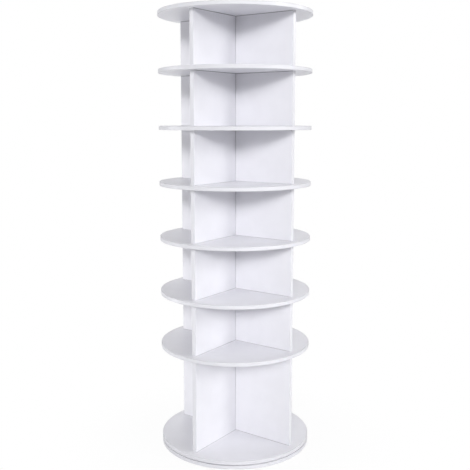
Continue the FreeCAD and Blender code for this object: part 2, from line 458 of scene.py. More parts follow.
@dataclass(frozen=True)
class Melamine:
    """White melamine facing on chipboard, with the fine pearl that such boards are pressed with.

    Where two boards meet, the joint between them is a fine dark line: grime in it, and painted contact shade.

    Attributes:
        across: The axis that the board's faces lie across: Z for a disc.
        height: The height of a divider, or 0 for a disc.
        joint: The colour of a joint, grime and painted contact shade; the darker colour along a divider's
            upper edge is painted shade of the disc above.
        least_grime_and_shade: How dark a joint is at least; the scuffs add up to grime_and_shade_swing.
        crossing_foot: How dark the joint of two crossing dividers is at its foot; up the crossing it grows
            darker towards the disc above, which is painted shade.
        facing_share: How thick one facing is, as a share of the board.
    """

    layout: Layout
    across: Across
    height: float = 0.0
    colour: Colour = (0.745, 0.743, 0.782)
    shade: Colour = (0.73, 0.728, 0.767)
    cloud_limits: Limits = (0.35, 0.65)
    # the joint lines' colour: grime, and painted contact shade
    joint: Colour = (0.38, 0.375, 0.39)
    # painted shade: a darker joint colour along a divider's upper edge, under the disc
    painted_shade_joint: Colour = (0.2, 0.197, 0.207)
    chips: Colour = (0.47, 0.34, 0.21)
    chip_gaps: Colour = (0.24, 0.15, 0.085)
    chip_limits: Limits = (0.35, 0.6)
    roughness: float = 0.42
    scuff_swing: float = 0.10
    cloud_swing: float = 0.08
    chip_roughness: float = 0.4
    pearl_grain: float = 0.7 * MM
    pearl_depth: float = 0.035 * MM
    cloud_grain: float = 60 * MM
    scuff_grain: float = 9 * MM
    chip_grain: float = 1.6 * MM
    chip_depth: float = 0.3 * MM
    joint_width: float = 1.4 * MM
    # the width of the painted shade along a divider's upper edge
    painted_shade_joint_width: float = 2.4 * MM
    crossing_width: float = 1.5 * MM
    # how dark the joint lines are, grime and painted contact shade, varied by the scuffs
    least_grime_and_shade: float = 0.6
    grime_and_shade_swing: float = 0.6
    crossing_foot: float = 0.5
    # painted shade: how much darker the crossing's joint grows towards the disc above
    painted_shade_rise: float = 0.7
    facing_share: float = 0.02
    facing_edge: float = 0.005

    def cut_edge(self, paint: Paint) -> Wire:
        """Finds the sawn or bored chipboard between the two facings.

        Args:
            paint: The material's paint.

        Returns:
            1 on the chipboard and 0 on the facings.
        """
        from_middle = abs(paint.share_of_box().part(self.across) - 0.5)
        facing = 0.5 - self.facing_share
        return from_middle.eased(facing, facing - self.facing_edge)

    def joints_on_disc(self, paint: Paint) -> Wire:
        """Finds the joints on the faces of a disc that look into a tier.

        Args:
            paint: The material's paint.

        Returns:
            1 along the cross of dividers.
        """
        place = paint.place()
        x, y = abs(place.part(Across.X)), abs(place.part(Across.Y))
        lowest, highest = self.layout.tiers[0].floor, self.layout.tiers[-1].ceiling
        from_middle = abs(place.part(Across.Z) - (lowest + highest) / 2)
        face, end, width = self.layout.divider_face, self.layout.divider_end, self.joint_width
        along_x = x.within(end, width) * y.within(face, width)
        along_y = y.within(end, width) * x.within(face, width)
        return along_x.larger(along_y) * from_middle.within((highest - lowest) / 2, width)

    def joints_on_divider(self, paint: Paint) -> Wire:
        """Finds the joints at a divider's lower edge and where the other divider crosses it.

        Args:
            paint: The material's paint.

        Returns:
            1 along the lower edge, and up to 1 along the crossing, less towards the floor: its rise towards
            the disc above is painted shade.
        """
        lengthwise = Across.Y if self.across is Across.X else Across.X
        from_axis = abs(paint.place().part(lengthwise))
        up = paint.share_of_box().part(Across.Z)
        crossing = from_axis.within(self.layout.divider_face, self.crossing_width)
        # painted shade: the crossing's joint darkens up towards the disc above
        crossing = crossing * (self.crossing_foot + self.painted_shade_rise * up)
        return crossing.larger(up.within(0.0, self.joint_width / self.height))

    def painted_shade_above(self, paint: Paint) -> Wire:
        """1 along the upper edge of a divider, where the disc above casts its shade: the mask of painted
        shade.
        """
        from_top = 1.0 - paint.share_of_box().part(Across.Z)
        return from_top.within(0.0, self.painted_shade_joint_width / self.height)

    def material(self) -> bpy.types.Material:
        """Makes the board's material.

        Returns:
            The material, named for the way that the board faces and for its height.
        """
        paint = Paint.named(f"melamine_{self.across.name.lower()}_{self.height / MM:.0f}")
        clouds = paint.noise(self.cloud_grain, detail=3.0)
        scuffs = paint.noise(self.scuff_grain, detail=5.0, roughness=0.65)
        pearl = paint.noise(self.pearl_grain, detail=1.0)
        chips = paint.noise(self.chip_grain, detail=4.0, roughness=0.7)
        cut = self.cut_edge(paint)
        on_disc = self.across is Across.Z
        joints = self.joints_on_disc(paint) if on_disc else self.joints_on_divider(paint)
        # the joint lines: grime, and painted contact shade where the boards meet
        grime_and_shade = self.least_grime_and_shade + self.grime_and_shade_swing * scuffs
        facing = clouds.eased(*self.cloud_limits).blend(self.shade, self.colour)
        facing = (joints * grime_and_shade).blend(facing, self.joint)
        # painted shade of the disc above, along the divider's upper edge
        if not on_disc:
            facing = self.painted_shade_above(paint).blend(facing, self.painted_shade_joint)
        chipboard = chips.eased(*self.chip_limits).blend(self.chip_gaps, self.chips)
        rough = self.roughness + self.scuff_swing * (scuffs - 0.5) + self.cloud_swing * (clouds - 0.5)
        relief = paint.bump(pearl, self.pearl_depth)
        return paint.surface(
            Base_Color=cut.blend(facing, chipboard),
            Roughness=rough + self.chip_roughness * cut,
            Normal=paint.bump(chips * cut, self.chip_depth, after=relief),
            IOR=BOARD_IOR,
        )


@dataclass(frozen=True)
class Edging:
    """Plastic edging, drawn lengthwise in fine lines, on a line of glue."""

    layout: Layout
    colour: Colour
    glue: Colour = (0.46, 0.45, 0.47)
    roughness: float = 0.36
    line_swing: float = 0.12
    line_grain: float = 0.35 * MM
    line_stretch: float = 60.0
    line_depth: float = 0.01 * MM

    def finished(self, paint: Paint, colour: Wire, lines: Wire, marks: Wire) -> bpy.types.Material:
        """Ends a paint with the surface that all edging has.

        Args:
            paint: The paint.
            colour: The colour, glue and all.
            lines: The lines that it was drawn in.
            marks: What wear and scuffs add to the roughness.

        Returns:
            The finished material.
        """
        return paint.surface(
            Base_Color=colour,
            Roughness=self.roughness + self.line_swing * (lines - 0.5) + marks,
            Normal=paint.bump(lines, self.line_depth),
            IOR=BOARD_IOR,
        )


@dataclass(frozen=True)
class DiscEdging(Edging):
    """The band round a disc: buffed at its corners, with a hairline where its ends meet.

    Attributes:
        seam_core: How far across the hairline it is at its darkest, as a share.
        wear_core: How far across the buffed corner the wear is in full, as a share.
    """

    colour: Colour = (0.63, 0.63, 0.665)
    wear: Colour = (0.57, 0.57, 0.60)
    seam_angle: float = math.radians(118)
    seam_width: float = 0.25 * MM
    seam_core: float = 0.3
    glue_width: float = 0.12 * MM
    wear_width: float = 0.9 * MM
    wear_core: float = 0.2
    wear_limits: Limits = (0.60, 0.72)
    wear_strength: float = 0.5
    wear_swing: float = 0.12
    scuff_grain: float = 6 * MM

    def seam(self, paint: Paint) -> Wire:
        """Finds the hairline where the two ends of the band meet.

        Args:
            paint: The material's paint.

        Returns:
            1 on the hairline.
        """
        out = level_direction(self.seam_angle)
        beside = out.cross(Vector((0.0, 0.0, 1.0)))
        ahead, aside = (paint.place().along(way) for way in (out, beside))
        line = abs(aside).eased(self.seam_width, self.seam_core * self.seam_width)
        return line * ahead.eased(0.0, self.layout.core_radius)

    def material(self) -> bpy.types.Material:
        """Makes the band's material.

        Returns:
            The material, for every disc's band.
        """
        paint = Paint.named("disc_edging")
        radius = paint.from_axis()
        core, rim = self.layout.core_radius, self.layout.disc_radius
        glue = radius.eased(core + 2 * self.glue_width, core + self.glue_width)
        squeeze = 1 / self.line_stretch
        lines = paint.noise(self.line_grain, at=paint.place() * (squeeze, squeeze, 1.0))
        scuffs = paint.noise(self.scuff_grain, detail=5.0, roughness=0.7)
        corner = radius.eased(rim - self.wear_width, rim - self.wear_core * self.wear_width)
        worn = scuffs.eased(*self.wear_limits) * corner
        clean = (self.wear_strength * worn).blend(self.colour, self.wear)
        colour = glue.larger(self.seam(paint)).blend(clean, self.glue)
        return self.finished(paint, colour, lines, self.wear_swing * worn)


@dataclass(frozen=True)
class StripEdging(Edging):
    """The thin strip on the end of a divider."""

    colour: Colour = (0.655, 0.655, 0.69)
    glue_width: float = 0.1 * MM
    scuff_swing: float = 0.10
    scuff_grain: float = 7 * MM

    def material(self) -> bpy.types.Material:
        """Makes the strip's material.

        Returns:
            The material, for every divider's strips.
        """
        paint = Paint.named("strip_edging")
        place = paint.place()
        reach = abs(place.part(Across.X)).larger(abs(place.part(Across.Y)))
        end = self.layout.divider_end
        glue = reach.eased(end + 2 * self.glue_width, end + self.glue_width)
        lines = paint.noise(self.line_grain, at=place * (1.0, 1.0, 1 / self.line_stretch))
        scuffs = paint.noise(self.scuff_grain, detail=5.0, roughness=0.7)
        colour = glue.blend(self.colour, self.glue)
        return self.finished(paint, colour, lines, self.scuff_swing * (scuffs - 0.5))


@dataclass(frozen=True)
class MouldedPlastic:
    """Moulded or die-cut plastic and rubber: an even colour under a fine matt grain."""

    name: str
    colour: Colour
    shade: Colour
    roughness: float
    grain: float = 0.25 * MM
    grain_depth: float = 0.02 * MM
    subsurface: float = 0.0
    subsurface_reach: float = 1 * MM
    cloud_grain: float = 4 * MM
    cloud_limits: Limits = (0.35, 0.65)
    cloud_swing: float = 0.12
    grain_swing: float = 0.08

    def material(self) -> bpy.types.Material:
        """Makes the plastic's material.

        Returns:
            The material.
        """
        paint = Paint.named(self.name)
        clouds = paint.noise(self.cloud_grain, detail=3.0)
        grain = paint.noise(self.grain, detail=2.0)
        return paint.surface(
            Base_Color=clouds.eased(*self.cloud_limits).blend(self.shade, self.colour),
            Roughness=self.roughness + self.cloud_swing * (clouds - 0.5) + self.grain_swing * (grain - 0.5),
            Normal=paint.bump(grain, self.grain_depth),
            Subsurface_Weight=self.subsurface,
            Subsurface_Scale=self.subsurface_reach,
            IOR=PLASTIC_IOR,
        )


@dataclass(frozen=True)
class Metal:
    """Bare, plated, cast or polished metal."""

    name: str
    colour: Colour
    stain: Colour
    roughness: float
    roughness_swing: float
    grain: float
    grain_depth: float
    turned: bool = False
    stain_grain: float = 5 * MM
    stain_limits: Limits = (0.4, 0.7)

    def material(self) -> bpy.types.Material:
        """Makes the metal's material.

        Returns:
            The material. Turned metal has its marks in rings about the axis.
        """
        paint = Paint.named(self.name)
        place = paint.place()
        if self.turned:
            place = paint.node("ShaderNodeCombineXYZ", {}, {0: paint.from_axis(), 2: place.part(Across.Z)})
        marks = paint.noise(self.grain, detail=3.0, at=place, roughness=0.6)
        stains = paint.noise(self.stain_grain, detail=4.0)
        return paint.surface(
            Base_Color=stains.eased(*self.stain_limits).blend(self.colour, self.stain),
            Metallic=1.0,
            Roughness=self.roughness + self.roughness_swing * (marks + stains - 1.0),
            Normal=paint.bump(marks, self.grain_depth),
        )


@dataclass(frozen=True)
class Beech:
    """Bare beech with its fibres along Z and the short dark flecks of its rays."""

    colour: Colour = (0.66, 0.47, 0.29)
    late_wood: Colour = (0.52, 0.34, 0.19)
    fleck: Colour = (0.37, 0.21, 0.10)
    fibre_grain: float = 0.5 * MM
    fibre_squeeze: float = 0.06
    fibre_limits: Limits = (0.35, 0.7)
    fibre_depth: float = 0.05 * MM
    fibre_swing: float = 0.2
    ray_grain: float = 0.6 * MM
    ray_squeeze: float = 0.3
    ray_limits: Limits = (0.62, 0.70)
    ray_strength: float = 0.7
    roughness: float = 0.62

    def material(self) -> bpy.types.Material:
        """Makes the dowels' material.

        Returns:
            The material.
        """
        paint = Paint.named("beech")
        place = paint.place()
        along = place * (1.0, 1.0, self.fibre_squeeze)
        fibres = paint.noise(self.fibre_grain, detail=4.0, at=along, roughness=0.6)
        rays = paint.noise(self.ray_grain, detail=1.0, at=place * (1.0, 1.0, self.ray_squeeze))
        wood = fibres.eased(*self.fibre_limits).blend(self.colour, self.late_wood)
        return paint.surface(
            Base_Color=(self.ray_strength * rays.eased(*self.ray_limits)).blend(wood, self.fleck),
            Roughness=self.roughness + self.fibre_swing * (fibres - 0.5),
            Normal=paint.bump(fibres, self.fibre_depth),
            IOR=WOOD_IOR,
        )


CAP_PLASTIC = MouldedPlastic("cap_plastic", (0.85, 0.85, 0.86), (0.82, 0.82, 0.835), 0.45)
PAD_RUBBER = MouldedPlastic(
    "pad_rubber", (0.075, 0.075, 0.08), (0.05, 0.05, 0.054), 0.85, grain=0.9 * MM, grain_depth=0.25 * MM
)
CAGE_NYLON = MouldedPlastic("cage_nylon", (0.80, 0.78, 0.70), (0.74, 0.72, 0.63), 0.40, subsurface=0.25)
TURNED_ALUMINIUM = Metal(
    "turned_aluminium", (0.78, 0.79, 0.80), (0.70, 0.71, 0.72), 0.30, 0.16, 0.18 * MM, 0.01 * MM, turned=True
)
BALL_STEEL = Metal("ball_steel", (0.74, 0.74, 0.75), (0.68, 0.68, 0.69), 0.08, 0.06, 0.8 * MM, 0.001 * MM)
ZINC_PLATE = Metal("zinc_plate", (0.70, 0.72, 0.75), (0.60, 0.62, 0.66), 0.26, 0.14, 0.5 * MM, 0.01 * MM)
CAST_ZINC = Metal("cast_zinc", (0.50, 0.51, 0.53), (0.40, 0.41, 0.43), 0.48, 0.20, 0.45 * MM, 0.03 * MM)


# ---- Mesh making


def arc(
    centre: tuple[float, float],
    radius: float,
    start: float,
    end: float,
    steps: int,
) -> list[tuple[float, float]]:
    """Points along an arc from one angle to another, in degrees, both ends included."""
    turns = [math.radians(start + (end - start) * i / steps) for i in range(steps + 1)]
    return [(centre[0] + radius * math.cos(turn), centre[1] + radius * math.sin(turn)) for turn in turns]


def lathe(outline: Outline, segments: int, reach: Callable[[float], float] | None = None) -> bpy.types.Mesh:
    """A closed body turned about Z.

    Args:
        outline: (radius, height) points from the axis, round the outside and back to the axis.
        segments: How many steps go round it.
        reach: A factor on the radius by the angle about the axis, for flutes, or None.

    Returns:
        The mesh, its faces outward.
    """
    work = bmesh.new()
    rows = []
    for radius, height in outline:
        if radius < ON_AXIS:
            rows.append([work.verts.new((0.0, 0.0, height))] * segments)
            continue
        turns = [FULL_TURN * i / segments for i in range(segments)]
        sizes = [radius * (reach(turn) if reach else 1.0) for turn in turns]
        ring = [(size * math.cos(turn), size * math.sin(turn), height) for size, turn in zip(sizes, turns)]
        rows.append([work.verts.new(point) for point in ring])
    for low, high in zip(rows, rows[1:]):
        for i in range(segments):
            j = (i + 1) % segments
            corners = list(dict.fromkeys((low[i], low[j], high[j], high[i])))
            work.faces.new(corners)
    bmesh.ops.recalc_face_normals(work, faces=work.faces)
    return as_mesh(work)


def prism(outline: Outline, bottom: float, top: float, taper: float = 1.0) -> bpy.types.Mesh:
    """A closed body with an upright outline.

    Args:
        outline: Its (x, y) points.
        bottom: The height it starts at.
        top: The height it ends at.
        taper: How much larger its lower end is than its upper one.

    Returns:
        The mesh, its faces outward.
    """
    work = bmesh.new()
    lower = [work.verts.new((x * taper, y * taper, bottom)) for x, y in outline]
    upper = [work.verts.new((x, y, top)) for x, y in outline]
    work.faces.new(lower)
    work.faces.new(upper)
    for i in range(len(outline)):
        j = (i + 1) % len(outline)
        work.faces.new((lower[i], lower[j], upper[j], upper[i]))
    bmesh.ops.recalc_face_normals(work, faces=work.faces)
    return as_mesh(work)


def thread(
    core: float,
    crest: float,
    pitch: float,
    bottom: float,
    top: float,
    steps_a_turn: int = 20,
    sink: float = 0.96,
    foot: float = 0.36,
    run_out: float = 0.5,
) -> bpy.types.Mesh:
    """The ridge of a screw's thread, a wedge wound about Z that dies out at both ends.

    Args:
        core: The radius of the shank it stands on.
        crest: The radius of its edge.
        pitch: Its rise in a turn.
        bottom: The height it starts at.
        top: The height it ends at.
        steps_a_turn: How many straight steps stand for a turn.
        sink: The radius of its foot, just inside the shank, as a share of the core's.
        foot: Half the width of its foot, as a share of the pitch.
        run_out: How many turns it takes at either end to rise to its full height.

    Returns:
        The mesh, closed at both ends.
    """
    root = sink * core
    count = round((top - bottom) / pitch * steps_a_turn)
    work = bmesh.new()
    rows = []
    for i in range(count + 1):
        share = min(1.0, i / steps_a_turn / run_out, (count - i) / steps_a_turn / run_out)
        edge = root + (crest - root) * share
        turn = FULL_TURN * i / steps_a_turn
        height = bottom + (top - bottom) * i / count
        wedge = [(root, -foot * pitch), (edge, 0.0), (root, foot * pitch)]
        points = [(r * math.cos(turn), r * math.sin(turn), height + rise) for r, rise in wedge]
        rows.append([work.verts.new(point) for point in points])
    for low, high in zip(rows, rows[1:]):
        for i in range(3):
            j = (i + 1) % 3
            work.faces.new((low[i], low[j], high[j], high[i]))
    work.faces.new(rows[0])
    work.faces.new(rows[-1])
    bmesh.ops.recalc_face_normals(work, faces=work.faces)
    return as_mesh(work)


def as_mesh(work: bmesh.types.BMesh) -> bpy.types.Mesh:
    """Turns a finished bmesh into a mesh and frees it.

    Args:
        work: The bmesh.

    Returns:
        The mesh.
    """
    mesh = bpy.data.meshes.new("shape")
    work.to_mesh(mesh)
    work.free()
    return mesh


def placed(name: str, data: bpy.types.ID) -> bpy.types.Object:
    """Puts a thing in the scene.

    Args:
        name: Its name.
        data: Its mesh, lamp or lens.

    Returns:
        The new object.
    """
    made = bpy.data.objects.new(name, data)
    bpy.context.scene.collection.objects.link(made)
    return made


def cut(mesh: bpy.types.Mesh, cutter: bpy.types.Mesh) -> bpy.types.Mesh:
    """Cuts a body out of another.

    Args:
        mesh: The body that is cut.
        cutter: What is taken out of it.

    Returns:
        A new mesh.
    """
    target = placed("cut_target", mesh)
    tool = placed("cut_tool", cutter)
    boolean = target.modifiers.new("cut", "BOOLEAN")
    boolean.operation = "DIFFERENCE"
    boolean.solver = "EXACT"
    boolean.object = tool
    seen = target.evaluated_get(bpy.context.evaluated_depsgraph_get())
    result = bpy.data.meshes.new_from_object(seen)
    for made in (target, tool):
        bpy.data.objects.remove(made)
    return result


def copies(meshes: Iterable[bpy.types.Mesh], places: Iterable[Matrix]) -> bpy.types.Mesh:
    """Joins copies of some bodies into one mesh.

    Args:
        meshes: The bodies, as they lie about the origin.
        places: Where each copy of them all goes.

    Returns:
        The joined mesh, its flat faces sharp and its curved ones smooth.
    """
    meshes = list(meshes)
    work = bmesh.new()
    for place in places:
        for mesh in meshes:
            first = len(work.verts)
            work.from_mesh(mesh)
            work.verts.ensure_lookup_table()
            bmesh.ops.transform(work, matrix=place, verts=work.verts[first:])
    joined = as_mesh(work)
    joined.polygons.foreach_set("use_smooth", [True] * len(joined.polygons))
    joined.set_sharp_from_angle(angle=SHARP_FROM)
    return joined


def dressed(
    name: str,
    mesh: bpy.types.Mesh,
    material: bpy.types.Material,
    body: Body,
    node: str,
) -> None:
    """Puts a new piece in the scene in place of a node of the frame.

    Args:
        name: The piece's name.
        mesh: Its mesh, on the frame's axes at rest.
        material: Its material.
        body: The body it rides on.
        node: The node it stands for.
    """
    mesh.name = name
    mesh.materials.clear()
    mesh.materials.append(material)
    piece = placed(name, mesh)
    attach(piece, body.value)
    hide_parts(node)
    log.info("%s: %d faces, on %s", name, len(mesh.polygons), body.value)


def paint_node(node: str, material: bpy.types.Material) -> None:
    """Gives a node of the frame its material.

    Args:
        node: The node's name.
        material: The material.
    """
    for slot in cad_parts[node].material_slots:
        slot.material = material
    log.info("%s: %s", node, material.name)


# ---- Sub-assemblies


@dataclass
class Boards:
    """The round boards and the dividers, with their edging."""

    layout: Layout

    def dress_discs(self) -> None:
        """Dresses the discs and their edging."""
        facing = Melamine(self.layout, Across.Z).material()
        band = DiscEdging(self.layout).material()
        shelves = [("shelf", f"_{number}") for number in range(1, len(self.layout.tiers))]
        for place, number in (("base", ""), ("turntable", ""), *shelves, ("top", "")):
            paint_node(f"{place}_disc{number}", facing)
            paint_node(f"{place}_edge_band{number}", band)

    def dress_dividers(self) -> None:
        """Dresses the dividers, and the strips on their ends."""
        heights = {tier.height for tier in self.layout.tiers}
        sides = {"under": Across.Y, "over": Across.X}
        facings = {
            (side, height): Melamine(self.layout, across, height).material()
            for side, across in sides.items()
            for height in sorted(heights)
        }
        strip = StripEdging(self.layout).material()
        for number, tier in enumerate(self.layout.tiers, start=1):
            for side in sides:
                paint_node(f"tier_{number}_{side}_divider", facings[side, tier.height])
            paint_node(f"tier_{number}_edge_strips", strip)

    def build(self) -> None:
        """Dresses every board and every strip of edging."""
        self.dress_discs()
        self.dress_dividers()


@dataclass
class FloorPads:
    """Round rubber pads under the base disc, bulged a little by its weight."""

    count: int = 6
    circle_radius: float = 240 * MM
    radius: float = 16 * MM
    thickness: float = 2.5 * MM
    edge_round: float = 0.9 * MM
    dish: float = 0.35 * MM
    dish_bevel: float = 1 * MM
    rim: float = 3 * MM
    segments: int = 48

    def pad(self) -> bpy.types.Mesh:
        """One pad on the axis, with a shallow dish in its underside.

        Returns:
            The mesh.
        """
        waist = self.radius - self.edge_round
        lower = arc((waist, self.edge_round), self.edge_round, -90, 0, 5)
        upper = arc((waist, self.thickness - self.edge_round), self.edge_round, 0, 70, 4)
        dish = [(0.0, self.dish), (waist - self.rim - self.dish_bevel, self.dish), (waist - self.rim, 0.0)]
        top = [(waist, self.thickness), (0.0, self.thickness)]
        return lathe(dish + lower + upper + top, self.segments)

    def build(self) -> None:
        """Puts the pads in place."""
        mesh = copies([self.pad()], seats_in_ring(self.count, self.circle_radius))
        dressed("rubber_pads", mesh, PAD_RUBBER.material(), Body.BASE, "floor_pads")


@dataclass(frozen=True)
class CrossRecess:
    """The cross that a driver fits, its mouth at height 0.

    Attributes:
        reach: How far its arms reach from the middle.
        over: How far the body that cuts it stands above the mouth.
        taper: How wide it is at its bottom, as a share of its mouth.
    """

    reach: float
    width: float
    depth: float
    over: float = 0.2 * MM
    taper: float = 0.55

    def cutter(self) -> bpy.types.Mesh:
        """Makes the body that is cut away.

        Returns:
            The mesh.
        """
        half = self.width / 2
        arm = [(self.reach, -half), (self.reach, half), (half, half)]
        quarter_turns = [(math.cos(math.pi / 2 * i), math.sin(math.pi / 2 * i)) for i in range(4)]
        outline = [(x * c - y * s, x * s + y * c) for c, s in quarter_turns for x, y in arm]
        return prism(outline, -self.depth, self.over, self.taper)


@dataclass
class RingScrew:
    """A countersunk chipboard screw with a cross recess, its head's top at height 0.

    Attributes:
        head_bevel: The width and the height of the bevel round the head's top.
        plain_share: The radius of the plain shank, as a share of the thread's.
        shoulder: How long the shank tapers down to the thread's core.
        point: How long the point is.
        tip: The radius and the height of the point's blunt end.
    """

    radius: float = 2 * MM
    head_radius: float = 4 * MM
    head_height: float = 2 * MM
    head_rim: float = 0.3 * MM
    head_bevel: tuple[float, float] = (0.1 * MM, 0.08 * MM)
    length: float = 15 * MM
    plain_length: float = 6 * MM
    plain_share: float = 0.85
    shoulder: float = 0.3 * MM
    core_radius: float = 1.35 * MM
    pitch: float = 1.6 * MM
    point: float = 3 * MM
    tip: tuple[float, float] = (0.3 * MM, 0.2 * MM)
    recess: CrossRecess = CrossRecess(2.1 * MM, 0.9 * MM, 1.7 * MM)
    segments: int = 32

    def meshes(self) -> list[bpy.types.Mesh]:
        """Makes one screw.

        Returns:
            Its shank with its head, and its thread.
        """
        shank_end = -self.plain_length
        plain_radius = self.plain_share * self.radius
        tip_radius, tip_height = self.tip
        bevel_width, bevel_height = self.head_bevel
        outline = [
            (0.0, -self.length),
            (tip_radius, -self.length + tip_height),
            (self.core_radius, -self.length + self.point),
            (self.core_radius, shank_end - self.shoulder),
            (plain_radius, shank_end),
            (plain_radius, -self.head_height),
            (self.head_radius, -self.head_rim),
            (self.head_radius, -bevel_height),
            (self.head_radius - bevel_width, 0.0),
            (0.0, 0.0),
        ]
        body = cut(lathe(outline, self.segments), self.recess.cutter())
        ridge = thread(self.core_radius, self.radius, self.pitch, -self.length + self.point / 2, shank_end)
        return [body, ridge]


@dataclass
class Bearing:
    """The ball-bearing turntable between the base disc and the turntable disc."""

    screw_count: int = 6
    first_screw: float = math.radians(15)
    ring_width: float = 22 * MM
    screw: RingScrew = field(default_factory=RingScrew)

    def build(self) -> None:
        """Dresses the rings, the cage and the balls, and puts in the screws."""
        aluminium = TURNED_ALUMINIUM.material()
        paint_node("bearing_lower_ring", aluminium)
        paint_node("bearing_upper_ring", aluminium)
        paint_node("bearing_cage", CAGE_NYLON.material())
        paint_node("bearing_balls", BALL_STEEL.material())
        zinc = ZINC_PLATE.material()
        shapes = self.screw.meshes()
        _, lower_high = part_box("bearing_lower_ring")
        upper_low, upper_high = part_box("bearing_upper_ring")
        inward = self.ring_width / 2
        heads = ((lower_high.x - inward, lower_high.z, False), (upper_high.x - inward, upper_low.z, True))
        lower, upper = (
            seats_in_ring(self.screw_count, radius, height, self.first_screw, upended)
            for radius, height, upended in heads
        )
        dressed("lower_ring_screws", copies(shapes, lower), zinc, Body.BASE, "bearing_lower_screws")
        dressed("upper_ring_screws", copies(shapes, upper), zinc, Body.TOWER, "bearing_upper_screws")


@dataclass
class CamFittings:
    """The cam locks in the dividers, the bolts that they pull on, and the caps over them.

    Attributes:
        distance: How far the fittings are from the tower's axis.
        setback: How far a cam's middle is from the disc.
        cam_rim: How far in from the cam's side its rim's bevel, inner edge and foot are.
        channel_end: How far the bolt's channel goes on past the bolt.
        cap_dome: How far in from the cap's side, and how high, the points of its dome are.
        bolt_tip: The radius of a bolt's end, and the height of its taper.
        bolt_collar: How far under the disc's face the bolt widens.
        thread_ends: How far the thread keeps from the bolt's end and from the disc's face.
    """

    layout: Layout
    distance: float = 200 * MM
    setback: float = 24 * MM
    cam_radius: float = 7.35 * MM
    cam_depth: float = 13 * MM
    cam_sink: float = 0.5 * MM
    cam_bevel: float = 0.3 * MM
    cam_rim: tuple[float, float, float] = (0.4 * MM, 1.2 * MM, 1.4 * MM)
    cam_channel: float = 3.3 * MM
    channel_end: float = 0.3 * MM
    cam_recess: CrossRecess = CrossRecess(3.3 * MM, 1.3 * MM, 3 * MM)
    cap_radius: float = 9 * MM
    cap_thickness: float = 0.9 * MM
    cap_round: float = 0.45 * MM
    cap_edge: float = 0.3 * MM
    cap_dome: Outline = ((1.2 * MM, 0.78 * MM), (4.5 * MM, 0.86 * MM))
    bolt_radius: float = 3 * MM
    bolt_grip: float = 10 * MM
    bolt_bevel: float = 0.4 * MM
    bolt_core: float = 2.1 * MM
    bolt_tip: tuple[float, float] = (1.5 * MM, 1 * MM)
    bolt_collar: float = 0.6 * MM
    neck_radius: float = 2.2 * MM
    neck_length: float = 3 * MM
    head_length: float = 4 * MM
    head_round: float = 0.6 * MM
    thread_pitch: float = 2.2 * MM
    thread_ends: tuple[float, float] = (1.2 * MM, 0.9 * MM)
    round_segments: int = 48
    bolt_segments: int = 32
    channel_segments: int = 24

    def in_face(self, mesh: bpy.types.Mesh, outward: float) -> bpy.types.Mesh:
        """Turns a body that looks up Z so that it looks out of the divider's face.

        Args:
            mesh: The body, built about Z. It is changed.
            outward: How far its own height 0 is from the divider's middle.

        Returns:
            The same mesh, at the cam's height.
        """
        to_face = Matrix.Translation((0.0, outward, self.setback)) @ Matrix.Rotation(-math.pi / 2, 4, "X")
        mesh.transform(to_face)
        return mesh

    def cam(self) -> bpy.types.Mesh:
        """A die-cast cam with its cross recess and the channel for the bolt's head.

        Returns:
            The mesh, where it lies in a divider's face.
        """
        r, depth, bevel = self.cam_radius, self.cam_depth, self.cam_bevel
        rim_bevel, rim_inside, rim_foot = self.cam_rim
        outline = [(0.0, -depth), (r - bevel, -depth), (r, -depth + bevel), (r, -rim_bevel)]
        outline += [(r - rim_bevel, 0.0), (r - rim_inside, 0.0), (r - rim_foot, -bevel), (0.0, -bevel)]
        body = cut(lathe(outline, self.round_segments), self.cam_recess.cutter())
        body = self.in_face(body, self.layout.divider_face - self.cam_sink)
        reach = self.setback + self.head_length / 2 + self.channel_end
        channel = [(0.0, 0.0), (self.cam_channel, 0.0), (self.cam_channel, reach), (0.0, reach)]
        return cut(body, lathe(channel, self.channel_segments))

    def cap(self) -> bpy.types.Mesh:
        """A thin cap with a soft rim and a barely domed middle.

        Returns:
            The mesh, where it lies on a divider's face.
        """
        r = self.cap_radius
        rim = arc((r - self.cap_round, self.cap_edge), self.cap_round, 0, 80, 5)
        dome = [(r - inward, height) for inward, height in self.cap_dome]
        outline = [(0.0, 0.0), (r, 0.0)] + rim + dome + [(0.0, self.cap_thickness)]
        return self.in_face(lathe(outline, self.round_segments), self.layout.divider_face)

    def head(self, start: float) -> list[tuple[float, float]]:
        """The outline of a bolt's neck and head.

        Args:
            start: The height that the neck starts at.

        Returns:
            The (radius, height) points, from the neck up to the axis.
        """
        neck = start + self.neck_length
        end = neck + self.head_length
        return [
            (self.bolt_radius, start - self.bolt_bevel),
            (self.neck_radius, start),
            (self.neck_radius, neck - self.bolt_bevel),
            (self.bolt_radius, neck),
            (self.bolt_radius, end - self.head_round),
            (self.bolt_radius - self.head_round, end),
            (0.0, end),
        ]

    def shank(self) -> float:
        """The length of a bolt's shank inside one divider."""
        return self.setback - self.head_length / 2 - self.neck_length

    def single_bolt(self) -> list[bpy.types.Mesh]:
        """A bolt that screws into a disc below height 0 and holds a cam above.

        Returns:
            Its body and its thread.
        """
        core, end = self.bolt_core, -self.bolt_grip
        tip_radius, tip_height = self.bolt_tip
        below, above = self.thread_ends
        outline = [(0.0, end), (tip_radius, end), (core, end + tip_height)]
        outline += [(core, -self.bolt_collar), (self.bolt_radius, 0.0)] + self.head(self.shank())
        ridge = thread(core, self.bolt_radius, self.thread_pitch, end + below, -above)
        return [lathe(outline, self.bolt_segments), ridge]

    def double_bolt(self) -> list[bpy.types.Mesh]:
        """A bolt through a disc whose upper face is at height 0, with a head on either side.

        Returns:
            Its body.
        """
        upper = self.head(self.shank())
        lower = [(radius, -self.layout.disc_thickness - height) for radius, height in reversed(upper)]
        return [lathe(lower + upper, self.bolt_segments)]

